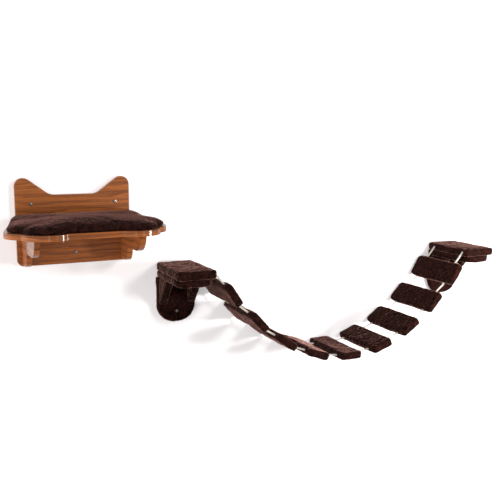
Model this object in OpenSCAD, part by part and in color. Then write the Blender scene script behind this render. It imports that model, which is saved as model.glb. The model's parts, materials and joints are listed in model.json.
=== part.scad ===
// Climbing wall for pets: a scalloped shelf with a cushion, and a rope bridge of plush planks
// that hangs between two plush platforms. All three fasten to one wall.
// Millimetres. +X runs to the right along the wall, +Z is up, the wall is the plane y = 0,
// and the origin lies on the wall midway between the shelf's two upper wall screws.

/* [Shelf back board] */
// Width of the back board
back_w = 474; // [450:2:500]
// Height of the back board, from its lower edge to the top of its ears
back_h = 361; // [350:1:390]
// Thickness of the back board
back_t = 18; // [15:1:24]
// Radius of the two lower corners
back_corner_r = 26; // [12:1:36]
// Radius of the round tip of each ear
ear_r = 34; // [26:1:44]
// Height of the level valley between the ears, above the lower edge
valley_h = 290; // [270:1:305]
// Slope of the inner side of each ear, in degrees from level
ear_slope = 36.5; // [30:0.5:48]
// Fillet between each ear's slope and the valley
valley_r = 60; // [20:5:80]

/* [Shelf seat] */
// Width of the seat where it meets the back board
seat_back_w = 530; // [500:2:550]
// Thickness of the seat board
seat_t = 22; // [18:1:26]
// Height of the seat's top surface above the back board's lower edge
seat_h = 173; // [165:1:190]
// Distance of each side lobe's centre from the middle of the seat
side_lobe_x = 220; // [205:1:230]
// Distance of each side lobe's centre from the wall
side_lobe_y = 256; // [240:1:270]
// Radius of each side lobe
side_lobe_r = 97; // [88:1:104]
// Distance of each front lobe's centre from the middle of the seat
front_lobe_x = 168; // [155:1:178]
// Distance of each front lobe's centre from the wall
front_lobe_y = 330; // [320:1:340]
// Radius of each front lobe
front_lobe_r = 100; // [92:1:108]
// Distance of the straight front edge from the wall
front_edge_y = 401; // [390:1:408]

/* [Shelf brackets] */
// Thickness of each bracket
bracket_t = 22; // [16:1:28]
// Distance of each bracket's outer face from the side of the back board
bracket_inset = 20; // [12:1:50]
// Distance of the bracket's front end from the wall
bracket_reach = 325; // [300:1:345]
// Height of the bracket's foot above the back board's lower edge
bracket_foot_h = 8; // [2:1:16]
// Radius of the round foot
foot_lobe_r = 50; // [40:1:54]
// Distance of the round foot's centre from the wall
foot_lobe_y = 76; // [70:1:84]
// Radius of the round front end, centred on the seat's underside
bracket_lobe_r = 81; // [74:1:86]
// Distance of the pointed cusp between foot and front end from the wall
cusp_y = 143; // [138:1:150]
// Height of the cusp's point above the bottom of the front end
cusp_h = 6; // [3:1:10]
// Radius of the wooden dowels
dowel_r = 4; // [3:0.5:5]
// Length of the wooden dowels
dowel_l = 30; // [24:2:34]

/* [Cushion] */
// Bare margin of seat board around the cushion
cushion_margin = 5; // [4:1:20]
// Height of the cushion at its free edge
cushion_rim_h = 20; // [16:1:32]
// Height of the cushion at its crown
cushion_crown_h = 46; // [38:1:58]
// How far the cushion's lower edge draws in under its fullest line
cushion_draw_in = 7; // [4:1:14]

/* [Wall screws] */
// Radius of the screw shank
wall_screw_r = 2.5; // [2:0.25:3.5]
// Length of shank that stands out behind the wall plane
wall_screw_reach = 38; // [25:1:60]
// Radius of the screw head
wall_head_r = 6.5; // [5:0.5:8]
// Height of the screw head
wall_head_h = 3; // [2:0.5:4]
// Distance between the shelf's two upper screws
shelf_screw_spacing = 350; // [300:5:380]
// Height of the shelf's upper screws above the back board's lower edge
shelf_screw_h = 254; // [240:1:262]
// Height of the shelf's lower screw above the back board's lower edge
shelf_low_screw_h = 47; // [30:1:70]
// Distance between a platform's two upper screws
platform_screw_spacing = 72; // [50:1:84]
// Drop of a platform's upper screws below the deck's underside
platform_screw_drop = 40; // [25:1:60]
// Height of a platform's lower screw above the wall plate's round end
platform_low_screw_h = 49; // [35:1:70]

/* [Platforms] */
// Distance of the left platform's middle from the shelf's middle
left_platform_x = 443; // [430:1:520]
// Drop of both platforms' top surface below the shelf's upper screws
platform_drop = 281; // [200:1:340]
// Depth of the rope board, from the wall to its front edge
rope_board_d = 307; // [300:1:320]
// Thickness of the rope board
rope_board_t = 35; // [33:1:42]
// Width of the wall plate
plate_w = 176; // [166:1:190]
// How far the rope board, the top layer, stays behind each side of the wall plate
rope_board_inset = 2; // [0:0.5:5]
// How far the deck, the middle layer, stays behind each side of the wall plate
deck_inset = 7; // [3:0.5:9]
// Depth of the deck
deck_d = 303; // [286:1:304]
// Radius of the deck's front corners
deck_corner_r = 70; // [40:1:76]
// Thickness of the deck
deck_t = 31; // [26:1:36]
// Height of the wall plate, from the deck's underside to its round end
plate_h = 205; // [195:1:230]
// Radius of the wall plate's lower corners, which makes its lower end all but a half circle
plate_corner_r = 83; // [60:1:83]
// Thickness of the wall plate
plate_t = 30; // [26:1:36]
// Distance of each gusset's outer face from the side of the wall plate
gusset_inset = 7; // [0:1:12]
// Thickness of each gusset
gusset_t = 30; // [24:1:34]
// Reach of each gusset from the wall plate, under the deck
gusset_d = 112; // [100:1:130]
// Height of each gusset
gusset_h = 117; // [100:1:126]

/* [Bridge] */
// Number of planks
plank_count = 9; // [7:1:10]
// Width of a plank, along the bridge
plank_w = 109; // [98:1:112]
// Length of a plank, from the wall outwards
plank_l = 318; // [280:2:324]
// Thickness of a plank
plank_t = 32; // [28:1:36]
// Distance between the platforms' middles
bridge_l = 1500; // [1470:5:1600]
// Growth of the hanging slope from one rope or plank to the next
hang_step = 0.31; // [0.2:0.01:0.34]
// How much steeper the planks lie than the line that they hang on
tilt_gain = 1.12; // [1:0.01:1.14]
// Diameter of the rope
rope_d = 9; // [6:0.5:10]
// Distance between the two ropes
rope_spacing = 216; // [190:2:224]
// Distance from the wall to the middle of the planks and ropes
rope_mid_y = 164; // [163:1:172]
// Drop of the ropes' ends below the platforms' top surface
rope_drop = 18; // [17:1:20]
// Radius of the knot at each end of a rope
knot_r = 9.5; // [8:0.5:10]
// Length of rope between the board's side and its knot
rope_tail_l = 34; // [24:1:44]

/* [Plush] */
// Thickness of plush and foam around every wooden core
plush_t = 5; // [4:0.5:6]
// Radius of the plush corners of rope boards and planks, seen from above
plush_corner_r = 16; // [12:1:22]
// Radius along the plush edges
plush_edge_r = 9; // [8:0.5:10]

/* [Assembly screws] */
// Radius of the screws that join the platform's cores
joint_screw_r = 2; // [1.5:0.25:2.5]
// Length of those screws under the head
joint_screw_l = 45; // [42:1:48]
// Radius of their heads
joint_head_r = 4.5; // [4:0.25:5]
// Height of their heads
joint_head_h = 3; // [2:0.5:3.5]

/* [Hidden] */
$fn = 48;
// Clearance around a core in its cover, and around a screw or dowel in its hole
fit_gap = 0.2;
// Clearance between a cushion and the boards that it rests on
rest_gap = 0.3;
// Clearance around a rope where it leaves a plank, and where it leaves a platform at a slant
plank_mouth_gap = 1.3;
platform_mouth_gap = 3.8;
// Depth of the wide mouth of each rope hole
mouth_l = 10;
// Clearance between the round end of a rope between planks and the rope held inside a plank
rope_end_gap = 0.4;
// Segments of a rounded plush corner, and of a board's arc
corner_steps = 4;
arc_steps = 10;
// Overshoot of a cutting shape past the face that it cuts
cut = 1;

rope_r = rope_d / 2;
held_rope_inset = rope_r + rope_end_gap;
rope_board_w = plate_w - 2 * rope_board_inset;
deck_w = plate_w - 2 * deck_inset;
seat_z = seat_h - shelf_screw_h;
seat_under_z = seat_z - seat_t;
back_bottom_z = -shelf_screw_h;
bracket_x = back_w / 2 - bracket_inset - bracket_t / 2;
deck_under = rope_board_t + deck_t;
gusset_x = plate_w / 2 - gusset_inset - gusset_t / 2;
anchor_span = bridge_l - rope_board_w;

plush_colour = "#5a342b";
walnut_colour = "#935a33";
rope_colour = "#efe9dc";
steel_colour = "#cfcfcb";
core_colour = "#c8a36d";
cushion_colour = "#4a2b22";

// Points of an arc about [cx, cy] from angle a0 to angle a1, in steps equal parts
function arc(cx, cy, r, a0, a1, steps) =
    [for (i = [0 : steps]) let (a = a0 + (a1 - a0) * i / steps) [cx + r * cos(a), cy + r * sin(a)]];

// Points that cut the straight line from p to q into n parts, without its last point
function divided(p, q, n) = [for (i = [0 : n - 1]) p + (q - p) * i / n];

// The points mirrored in the Y axis, in the opposite order
function mirrored(points) = [for (i = [len(points) - 1 : -1 : 0]) [-points[i].x, points[i].y]];

// Rectangle about the origin with round corners
function rounded_rect(w, h, r) = concat(
    arc(w / 2 - r, h / 2 - r, r, 0, 90, corner_steps),
    arc(r - w / 2, h / 2 - r, r, 90, 180, corner_steps),
    arc(r - w / 2, r - h / 2, r, 180, 270, corner_steps),
    arc(w / 2 - r, r - h / 2, r, 270, 360, corner_steps)
);

// Strip that starts on the X axis and reaches l down the page, with round corners there
function round_ended(w, l, r) = concat(
    [[w / 2, 0]],
    arc(w / 2 - r, r - l, r, 0, -90, arc_steps),
    arc(r - w / 2, r - l, r, -90, -180, arc_steps),
    [[-w / 2, 0]]
);

// Shelf

// Right half of the back board's outline, from its lower middle to the middle of the valley,
// with heights above the lower edge
function back_half() =
    let (
        ear_x = back_w / 2 - ear_r,
        ear_z = back_h - ear_r,
        slope_a = 90 + ear_slope,
        // The ear's arc ends where its tangent has the slope, and the straight run goes down to the valley
        top = [ear_x + ear_r * cos(slope_a), ear_z + ear_r * sin(slope_a)],
        foot_x = top.x - (top.y - valley_h) / tan(ear_slope),
        fillet_x = foot_x - valley_r * tan(ear_slope / 2)
    )
    concat(
        arc(back_w / 2 - back_corner_r, back_corner_r, back_corner_r, -90, 0, arc_steps),
        arc(ear_x, ear_z, ear_r, 0, slope_a, arc_steps),
        arc(fillet_x, valley_h + valley_r, valley_r, ear_slope - 90, -90, arc_steps)
    );

module shelf_back_board() {
    half = back_half();
    color(walnut_colour)
    difference() {
        translate([0, 0, back_bottom_z])
            rotate([90, 0, 0])
                linear_extrude(back_t) polygon(concat(half, mirrored(half)));
        shelf_screw_places() wall_screw_hole();
        shelf_dowel_places() dowel_hole();
    }
}

// Right half of the seat's outline, clockwise from its back corner to the end of the straight
// front edge: a line tangent to the side lobe, the side lobe and the front lobe.
// margin moves the outline inwards, and parts is the number of pieces of the straight line.
function seat_half(margin, parts) =
    let (
        side = [side_lobe_x, -side_lobe_y],
        front = [front_lobe_x, -front_lobe_y],
        side_r = side_lobe_r - margin,
        front_r = front_lobe_r - margin,
        corner = [seat_back_w / 2 - margin, -back_t],
        // Tangent from the corner to the side lobe
        to_corner = corner - side,
        tangent_a = atan2(to_corner.y, to_corner.x) - acos(side_r / norm(to_corner)),
        tangent = side + side_r * [cos(tangent_a), sin(tangent_a)],
        // Outer crossing point of the two lobes
        apart = norm(front - side),
        along = (side_r ^ 2 - front_r ^ 2 + apart ^ 2) / (2 * apart),
        across = sqrt(side_r ^ 2 - along ^ 2),
        u = (front - side) / apart,
        notch = side + along * u + across * [-u.y, u.x],
        // End of the front lobe on the straight front edge
        edge_y = margin - front_edge_y,
        edge_a = -180 - asin((edge_y - front.y) / front_r)
    )
    concat(
        divided(corner, tangent, parts),
        arc(side.x, side.y, side_r, tangent_a, atan2(notch.y - side.y, notch.x - side.x), arc_steps),
        arc(front.x, front.y, front_r, atan2(notch.y - front.y, notch.x - front.x), edge_a, arc_steps)
    );

module shelf_seat_board() {
    half = seat_half(0, 1);
    color(walnut_colour)
    difference() {
        translate([0, 0, seat_under_z])
            linear_extrude(seat_t) polygon(concat(half, mirrored(half)));
        shelf_dowel_places() dowel_hole();
    }
}

// Outline of a bracket: distance from the wall, and height above the back board's lower edge
function bracket_outline() =
    let (
        under = seat_h - seat_t,
        lobe_bottom = under - bracket_lobe_r,
        cusp = [cusp_y, lobe_bottom + cusp_h],
        // Run of the cusp's two flanks, out to the foot and out to the front end
        foot_flank = 10,
        lobe_flank = 12
    )
    concat(
        [[back_t, bracket_foot_h]],
        arc(foot_lobe_y, bracket_foot_h + foot_lobe_r, foot_lobe_r, -90, -5, arc_steps),
        [cusp - [foot_flank, foot_flank], cusp, cusp + [lobe_flank, -cusp_h * 0.8]],
        arc(bracket_reach - bracket_lobe_r, under, bracket_lobe_r, -90, 0, arc_steps),
        [[back_t, under]]
    );

module shelf_bracket(side) {
    color(walnut_colour)
    difference() {
        translate([side * bracket_x - bracket_t / 2, 0, back_bottom_z])
            rotate([90, 0, 90])
                linear_extrude(bracket_t) polygon([for (p = bracket_outline()) [-p.x, p.y]]);
        shelf_dowel_places() dowel_hole();
    }
}

// Each dowel is centred on the face that it crosses, and runs along Z there
module shelf_dowel_places() {
    for (side = [-1, 1], y = [-back_t - 60, bracket_lobe_r - bracket_reach])
        translate([side * bracket_x, y, seat_under_z]) children();
    for (side = [-1, 1], h = [bracket_foot_h + 22, seat_h - seat_t - 40])
        translate([side * bracket_x, -back_t, back_bottom_z + h]) rotate([90, 0, 0]) children();
    for (x = [-0.6, 0, 0.6] * bracket_x)
        translate([x, -back_t, seat_z - seat_t / 2]) rotate([90, 0, 0]) children();
}

// A dowel goes a third of its length, or less, into the thinner board
module dowel_hole() {
    translate([0, 0, -dowel_depth(dowel_l / 2 + cut)]) cylinder(r = dowel_r + fit_gap, h = dowel_l + cut);
}

function dowel_depth(most) = min(most, back_t - 6);

module shelf_dowels() {
    color(core_colour)
    shelf_dowel_places()
        translate([0, 0, -dowel_depth(dowel_l / 2)]) cylinder(r = dowel_r, h = dowel_l - cut);
}

// The cushion is stacked from copies of one outline, drawn in below and above its fullest line
// and shrunk towards its middle over the crown. It stands high against the back board.
module seat_cushion() {
    half = [for (p = seat_half(cushion_margin, 4)) [p.x, p.y - cushion_margin / 3]];
    right = concat(divided([0, half[0].y], half[0], 4), half);
    outline = concat(right, divided(right[len(right) - 1], mirrored(right)[0], 3), mirrored(right));
    n = len(outline);
    middle = [0, -(back_t + front_edge_y) / 2 + 10];
    draw_in = cushion_draw_in / (seat_back_w / 2);
    // Each ring: size of the outline, and height as a share of the edge's height
    side_rings = [[1 - draw_in, 0], [1 - draw_in * 0.25, 0.22], [1, 0.45], [1 - draw_in * 0.3, 0.75]];
    crown_sizes = [0.93, 0.82, 0.66, 0.46, 0.24];
    function weight(p) = let (t = min(1, max(0, (-p.y - back_t) / 150))) 0.25 + 0.75 * t * t * (3 - 2 * t);
    function edge_h(p) = cushion_crown_h + (cushion_rim_h - cushion_crown_h) * weight(p);
    function placed(p, size) = middle + (p - middle) * size;
    function crown_h(p, size) = cushion_crown_h + (edge_h(p) - cushion_crown_h) * size ^ 2;
    points = concat(
        [for (r = side_rings, p = outline) let (q = placed(p, r[0])) [q.x, q.y, r[1] * edge_h(p)]],
        [for (size = crown_sizes, p = outline) let (q = placed(p, size)) [q.x, q.y, crown_h(p, size)]],
        [[middle.x, middle.y, 0], [middle.x, middle.y, cushion_crown_h]]
    );
    rings = len(side_rings) + len(crown_sizes);
    below = rings * n;
    top = (rings - 1) * n;
    faces = concat(
        [for (i = [0 : rings - 2], j = [0 : n - 1])
            let (a = i * n + j, b = i * n + (j + 1) % n) each [[a, b, b + n], [a, b + n, a + n]]],
        [for (j = [0 : n - 1]) [below, (j + 1) % n, j]],
        [for (j = [0 : n - 1]) [below + 1, top + j, top + (j + 1) % n]]
    );
    color(cushion_colour)
        translate([0, -rest_gap, seat_z + rest_gap]) polyhedron(points, faces);
}

// Wall screws

module shelf_screw_places() {
    for (x = [-0.5, 0.5] * shelf_screw_spacing) translate([x, -back_t, 0]) children();
    translate([0, -back_t, back_bottom_z + shelf_low_screw_h]) children();
}

module platform_screw_places() {
    for (x = [-0.5, 0.5] * platform_screw_spacing)
        translate([x, -plate_t, -deck_under - platform_screw_drop]) children();
    translate([0, -plate_t, -deck_under - plate_h + platform_low_screw_h]) children();
}

// The shank is plain and slightly thinner through the board, and threaded behind the wall plane
module wall_screw(board) {
    plain_r = wall_screw_r - 0.3;
    rotate([-90, 0, 0])
        rotate_extrude()
            polygon([
                [0, -wall_head_h], [wall_head_r * 0.6, -wall_head_h], [wall_head_r, -wall_head_h * 0.45],
                [wall_head_r, 0], [plain_r, 0], [plain_r, board], [wall_screw_r, board],
                [wall_screw_r, board + wall_screw_reach], [0, board + wall_screw_reach]
            ]);
}

// Starts in front of the board's face and runs back past the wall plane
module wall_screw_hole() {
    translate([0, -cut, 0]) rotate([-90, 0, 0]) cylinder(r = wall_screw_r + fit_gap, h = 2 * back_t + plate_t);
}

module wall_screws() {
    color(steel_colour) {
        shelf_screw_places() wall_screw(back_t);
        for (side = [-1, 1]) at_platform(side) platform_screw_places() wall_screw(plate_t);
    }
}

// Platforms. Each is drawn with its middle at x = 0, its top surface at z = 0 and its ropes
// leaving towards +X. The right one is the mirror image.

module at_platform(side) {
    translate([left_platform_x + (side > 0 ? bridge_l : 0), 0, -platform_drop])
        if (side > 0) mirror([1, 0, 0]) children(); else children();
}

// Block about the origin, with round corners seen from above and round edges
module soft_block(w, d, t) {
    intersection() {
        translate([0, 0, -t / 2]) linear_extrude(t) polygon(rounded_rect(w, d, plush_corner_r));
        rotate([90, 0, 0]) translate([0, 0, -d / 2]) linear_extrude(d) polygon(rounded_rect(w, t, plush_edge_r));
        rotate([90, 0, 90]) translate([0, 0, -w / 2]) linear_extrude(w) polygon(rounded_rect(d, t, plush_edge_r));
    }
}

// What a cover of that size holds, inset all round
module block_core(w, d, t, inset) {
    translate([0, 0, inset - t / 2])
        linear_extrude(t - 2 * inset)
            polygon(rounded_rect(w - 2 * inset, d - 2 * inset, plush_corner_r - inset));
}

// Round-ended panel on z = 0 that reaches l from the X axis towards -Y, with round edges
module soft_panel(w, l, t, r) {
    intersection() {
        linear_extrude(t) polygon(round_ended(w, l, r));
        rotate([90, 0, 0]) linear_extrude(l) translate([0, t / 2]) polygon(rounded_rect(w, t, plush_edge_r));
        rotate([90, 0, 90]) translate([0, 0, -w / 2])
            linear_extrude(w) translate([-l / 2, t / 2]) polygon(rounded_rect(l, t, plush_edge_r));
    }
}

module panel_core(w, l, t, r, inset) {
    translate([0, -inset, inset])
        linear_extrude(t - 2 * inset) polygon(round_ended(w - 2 * inset, l - 2 * inset, r - inset));
}

// Triangle in its own corner: the wall plate behind it, the deck above it
module soft_gusset() {
    // Width of the gusset's blunt lower end
    blunt = 3;
    rotate([90, 0, 90]) translate([0, 0, -gusset_t / 2])
        linear_extrude(gusset_t) polygon([[0, 0], [-gusset_d, 0], [-blunt, -gusset_h], [0, -gusset_h]]);
}

// The slanted edge moves in by inset, measured square to it
module gusset_core_shape(inset) {
    slant = inset * norm([gusset_d, gusset_h]) / gusset_h;
    rise = gusset_h / gusset_d;
    rotate([90, 0, 90]) translate([0, 0, inset - gusset_t / 2])
        linear_extrude(gusset_t - 2 * inset)
            polygon([
                [-inset, -inset],
                [slant + inset / rise - gusset_d, -inset],
                [-inset, -(gusset_d - slant - inset) * rise]
            ]);
}

module deck_place() { translate([0, 0, -deck_under]) children(); }
module plate_place() { translate([0, 0, -deck_under]) rotate([90, 0, 0]) children(); }
module rope_board_place() { translate([0, -rope_board_d / 2, -rope_board_t / 2]) children(); }
module gusset_places() {
    for (x = [-gusset_x, gusset_x]) translate([x, -plate_t, -deck_under]) children();
}

// Places of the screws that join the cores: each child points along -Z from under its head
module joint_screw_places() {
    deck_top = plush_t - rope_board_t - 2 * plush_t;
    // Down through the deck into the wall plate and the gussets
    for (x = [-0.3, 0.3] * deck_w) translate([x, -plate_t / 2, deck_top]) children();
    for (x = [-gusset_x, gusset_x]) translate([x, -plate_t - gusset_d / 2, deck_top]) children();
    // Up through the deck into the rope board
    for (x = [-0.2, 0.2] * rope_board_w, y = [-0.36, -0.72] * rope_board_d)
        translate([x, y, plush_t - deck_under]) rotate([180, 0, 0]) children();
    // Out through the wall plate into the gussets
    for (x = [-gusset_x, gusset_x])
        translate([x, -plush_t, -deck_under - gusset_h * 0.4]) rotate([-90, 0, 0]) children();
}

module joint_screw() {
    translate([0, 0, -joint_screw_l]) cylinder(r = joint_screw_r, h = joint_screw_l);
    cylinder(r = joint_head_r, h = joint_head_h);
}

module joint_screw_hole() {
    translate([0, 0, -joint_screw_l - fit_gap])
        cylinder(r = joint_screw_r + fit_gap, h = joint_screw_l + 2 * fit_gap);
    cylinder(r = joint_head_r + fit_gap, h = plush_t + cut);
}

module platform_screws() {
    color(steel_colour)
    for (side = [-1, 1]) at_platform(side) joint_screw_places() joint_screw();
}

module plate_cover(side) {
    color(plush_colour)
    at_platform(side)
    difference() {
        plate_place() soft_panel(plate_w, plate_h, plate_t, plate_corner_r);
        plate_place() panel_core(plate_w, plate_h, plate_t, plate_corner_r, plush_t - fit_gap);
        platform_screw_places() wall_screw_hole();
        joint_screw_places() joint_screw_hole();
    }
}

module plate_cores() {
    color(core_colour)
    for (side = [-1, 1]) at_platform(side)
    difference() {
        plate_place() panel_core(plate_w, plate_h, plate_t, plate_corner_r, plush_t);
        platform_screw_places() wall_screw_hole();
        joint_screw_places() joint_screw_hole();
    }
}

module deck_cover(side) {
    color(plush_colour)
    at_platform(side)
    difference() {
        deck_place() soft_panel(deck_w, deck_d, deck_t, deck_corner_r);
        deck_place() panel_core(deck_w, deck_d, deck_t, deck_corner_r, plush_t - fit_gap);
        joint_screw_places() joint_screw_hole();
    }
}

module deck_cores() {
    color(core_colour)
    for (side = [-1, 1]) at_platform(side)
    difference() {
        deck_place() panel_core(deck_w, deck_d, deck_t, deck_corner_r, plush_t);
        joint_screw_places() joint_screw_hole();
    }
}

module gusset_covers(side) {
    color(plush_colour)
    at_platform(side)
    difference() {
        gusset_places() soft_gusset();
        gusset_places() gusset_core_shape(plush_t - fit_gap);
        joint_screw_places() joint_screw_hole();
    }
}

module gusset_cores() {
    color(core_colour)
    for (side = [-1, 1]) at_platform(side)
    difference() {
        gusset_places() gusset_core_shape(plush_t);
        joint_screw_places() joint_screw_hole();
    }
}

// Rope ends in the rope board, on its +X side: a mouth wide enough for the rope to slant down
module rope_end_places() {
    for (y = [-0.5, 0.5] * rope_spacing)
        translate([rope_board_w / 2, y - rope_mid_y, -rope_drop]) children();
}

module rope_end_holes() {
    rope_end_places() {
        rotate([0, -90, 0]) translate([0, 0, -cut]) cylinder(r = rope_r + platform_mouth_gap, h = mouth_l + cut);
        rotate([0, -90, 0]) cylinder(r = rope_r + fit_gap, h = rope_tail_l);
        // The knot goes in from below
        translate([-rope_tail_l, 0, -rope_board_t])
            cylinder(r = knot_r + fit_gap, h = rope_board_t + knot_r + fit_gap);
    }
}

module rope_anchors() {
    color(rope_colour)
    for (side = [-1, 1]) at_platform(side) rope_end_places() {
        translate([-rope_tail_l, 0, 0]) rotate([0, 90, 0]) rotate_extrude()
            polygon(concat(
                arc(0, 0, knot_r, -90, acos(rope_r / knot_r), arc_steps),
                [[rope_r, rope_tail_l - held_rope_inset], [0, rope_tail_l - held_rope_inset]]
            ));
    }
}

module rope_board_cover(side) {
    color(plush_colour)
    at_platform(side)
    difference() {
        rope_board_place() soft_block(rope_board_w, rope_board_d, rope_board_t);
        rope_board_place() block_core(rope_board_w, rope_board_d, rope_board_t, plush_t - fit_gap);
        rope_end_places() rotate([0, -90, 0]) translate([0, 0, -cut])
            cylinder(r = rope_r + platform_mouth_gap, h = mouth_l + cut);
        joint_screw_places() joint_screw_hole();
    }
}

module rope_board_cores() {
    color(core_colour)
    for (side = [-1, 1]) at_platform(side)
    difference() {
        rope_board_place() block_core(rope_board_w, rope_board_d, rope_board_t, plush_t);
        rope_end_holes();
        joint_screw_places() joint_screw_hole();
    }
}

// Bridge. Ropes and planks first follow a hanging line whose slope grows by hang_step from one
// to the next, level in the middle. The rope's free length is what closes that line between
// the two platforms. Each plank then tips by tilt_gain about its middle, and the ropes run
// straight from edge to edge.

function line_slope(i) = atan((i - (plank_count + 1) / 2) * hang_step);
function rope_line_slope(k) = atan((k - plank_count / 2) * hang_step);
function total(v, i = 0) = i < len(v) ? v[i] + total(v, i + 1) : 0;

rope_gap = (anchor_span - plank_w * total([for (i = [1 : plank_count]) cos(line_slope(i))]))
    / total([for (k = [0 : plank_count]) cos(rope_line_slope(k))]);

function heading(a) = [cos(a), sin(a)];
// End of rope k on the hanging line, and the middle of plank i, from the left anchor
function rope_line_end(k) = rope_gap * heading(rope_line_slope(k))
    + (k > 0 ? rope_line_end(k - 1) + plank_w * heading(line_slope(k)) : [0, 0]);
function plank_middle(i) = rope_line_end(i - 1) + plank_w / 2 * heading(line_slope(i));
function plank_tilt(i) = tilt_gain * line_slope(i);
function rope_start(k) = k == 0 ? [0, 0] : plank_middle(k) + plank_w / 2 * heading(plank_tilt(k));
function rope_end(k) = k == plank_count ? [anchor_span, 0]
    : plank_middle(k + 1) - plank_w / 2 * heading(plank_tilt(k + 1));

// Puts its children's origin at a point [along, up] from the left anchor, midway between the ropes
module from_anchor(p) {
    translate([left_platform_x + rope_board_w / 2 + p.x, -rope_mid_y, p.y - platform_drop - rope_drop])
        children();
}

module at_plank(i) { from_anchor(plank_middle(i)) rotate([0, -plank_tilt(i), 0]) children(); }

// Rope holes along a plank: a wide mouth at both edges, snug between them
module plank_rope_holes() {
    for (y = [-0.5, 0.5] * rope_spacing) translate([-plank_w / 2, y, 0]) rotate([0, 90, 0]) {
        cylinder(r = rope_r + fit_gap, h = plank_w);
        for (z = [-cut, plank_w - mouth_l])
            translate([0, 0, z]) cylinder(r = rope_r + plank_mouth_gap, h = mouth_l + cut);
    }
}

module plank_core(i) {
    color(core_colour)
    at_plank(i)
    difference() {
        block_core(plank_w, plank_l, plank_t, plush_t);
        plank_rope_holes();
    }
}

module plank_cover(i) {
    color(plush_colour)
    at_plank(i)
    difference() {
        soft_block(plank_w, plank_l, plank_t);
        block_core(plank_w, plank_l, plank_t, plush_t - fit_gap);
        plank_rope_holes();
    }
}

module plank_ropes(i) {
    color(rope_colour)
    at_plank(i)
    for (y = [-0.5, 0.5] * rope_spacing)
        translate([held_rope_inset - plank_w / 2, y, 0])
            rotate([0, 90, 0]) cylinder(r = rope_r, h = plank_w - 2 * held_rope_inset);
}

// The two ropes of one span, with round ends centred on the edges that they run between
module rope_span(k) {
    run = rope_end(k) - rope_start(k);
    color(rope_colour)
    from_anchor(rope_start(k))
    for (y = [-0.5, 0.5] * rope_spacing)
        translate([0, y, 0]) rotate([0, 90 - atan2(run.y, run.x), 0])
            rotate_extrude()
                polygon(concat(arc(0, 0, rope_r, -90, 0, corner_steps), arc(0, norm(run), rope_r, 0, 90, corner_steps)));
}

shelf_back_board();
shelf_seat_board();
shelf_bracket(-1);  // shelf_bracket_left
shelf_bracket(1);  // shelf_bracket_right
seat_cushion();
shelf_dowels();
wall_screws();
plate_cover(-1);  // left_plate_cover
deck_cover(-1);  // left_deck_cover
rope_board_cover(-1);  // left_rope_board_cover
gusset_covers(-1);  // left_gusset_covers
plate_cover(1);  // right_plate_cover
deck_cover(1);  // right_deck_cover
rope_board_cover(1);  // right_rope_board_cover
gusset_covers(1);  // right_gusset_covers
plate_cores();
deck_cores();
rope_board_cores();
gusset_cores();
platform_screws();
rope_anchors();
for (i = [1 : plank_count]) {
    plank_core(i);
    plank_cover(i);
    plank_ropes(i);
}
for (k = [0 : plank_count])
    rope_span(k);
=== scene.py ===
# %% [markdown]
# An indoor climbing wall: a wooden shelf with a cushion, and a rope bridge between two plush platforms.
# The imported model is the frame: it has every piece at its real size and place, and says which body each
# piece moves with. This lesson dresses that frame. It keeps the wooden boards and gives them a finish,
# and makes new surfaces for what is soft or fine: plush, cushion, rope and screws.

# %% Load the frame
import json
import math

import bpy
import numpy as np
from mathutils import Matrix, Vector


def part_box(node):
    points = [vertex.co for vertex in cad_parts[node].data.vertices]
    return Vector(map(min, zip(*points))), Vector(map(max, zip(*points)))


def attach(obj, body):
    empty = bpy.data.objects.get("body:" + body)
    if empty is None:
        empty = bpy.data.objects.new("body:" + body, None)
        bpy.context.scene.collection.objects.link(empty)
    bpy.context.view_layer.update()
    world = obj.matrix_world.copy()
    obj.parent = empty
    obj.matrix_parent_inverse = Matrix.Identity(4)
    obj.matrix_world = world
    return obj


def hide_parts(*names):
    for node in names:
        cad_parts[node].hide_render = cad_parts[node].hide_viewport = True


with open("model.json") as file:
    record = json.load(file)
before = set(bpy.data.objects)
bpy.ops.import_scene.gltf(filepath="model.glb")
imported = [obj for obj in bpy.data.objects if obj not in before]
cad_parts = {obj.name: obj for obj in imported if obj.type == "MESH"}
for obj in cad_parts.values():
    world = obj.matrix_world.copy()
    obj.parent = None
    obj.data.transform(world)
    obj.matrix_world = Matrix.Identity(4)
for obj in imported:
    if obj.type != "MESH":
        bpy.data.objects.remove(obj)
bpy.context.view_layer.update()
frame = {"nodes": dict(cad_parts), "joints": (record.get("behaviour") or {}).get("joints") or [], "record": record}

MM = 0.001
nodes = frame["nodes"]
body_of_node = {
    node: body
    for body, members in frame["record"]["behaviour"]["bodies"].items()
    for node in members
}

# %% [markdown]
# The photograph was taken from the left of the bridge, slightly above the shelf, with a normal lens.
# The camera's place came from fitting the boards' corners, so it is given here as plain values.

# %% Camera
CAMERA_PLACE = (-0.6757, -3.1847, 0.2798)
CAMERA_PITCH, CAMERA_YAW = 81.36, -25.17
CAMERA_LENS, SENSOR_WIDTH = 54.53, 36.0

camera_data = bpy.data.cameras.new("camera")
camera_data.lens = CAMERA_LENS
camera_data.sensor_width = SENSOR_WIDTH
camera = bpy.data.objects.new("camera", camera_data)
camera.location = CAMERA_PLACE
camera.rotation_euler = (math.radians(CAMERA_PITCH), 0, math.radians(CAMERA_YAW))
bpy.context.scene.collection.objects.link(camera)
bpy.context.scene.camera = camera
print("camera:", CAMERA_LENS, "mm lens")

# %% [markdown]
# A material is a small graph of nodes. Three helpers are enough for all of them: one turns a colour as a
# web page writes it into the linear numbers that Blender mixes, one adds a node with its settings,
# numbers and links, and one starts a material and sets its shader's constants.

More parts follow.
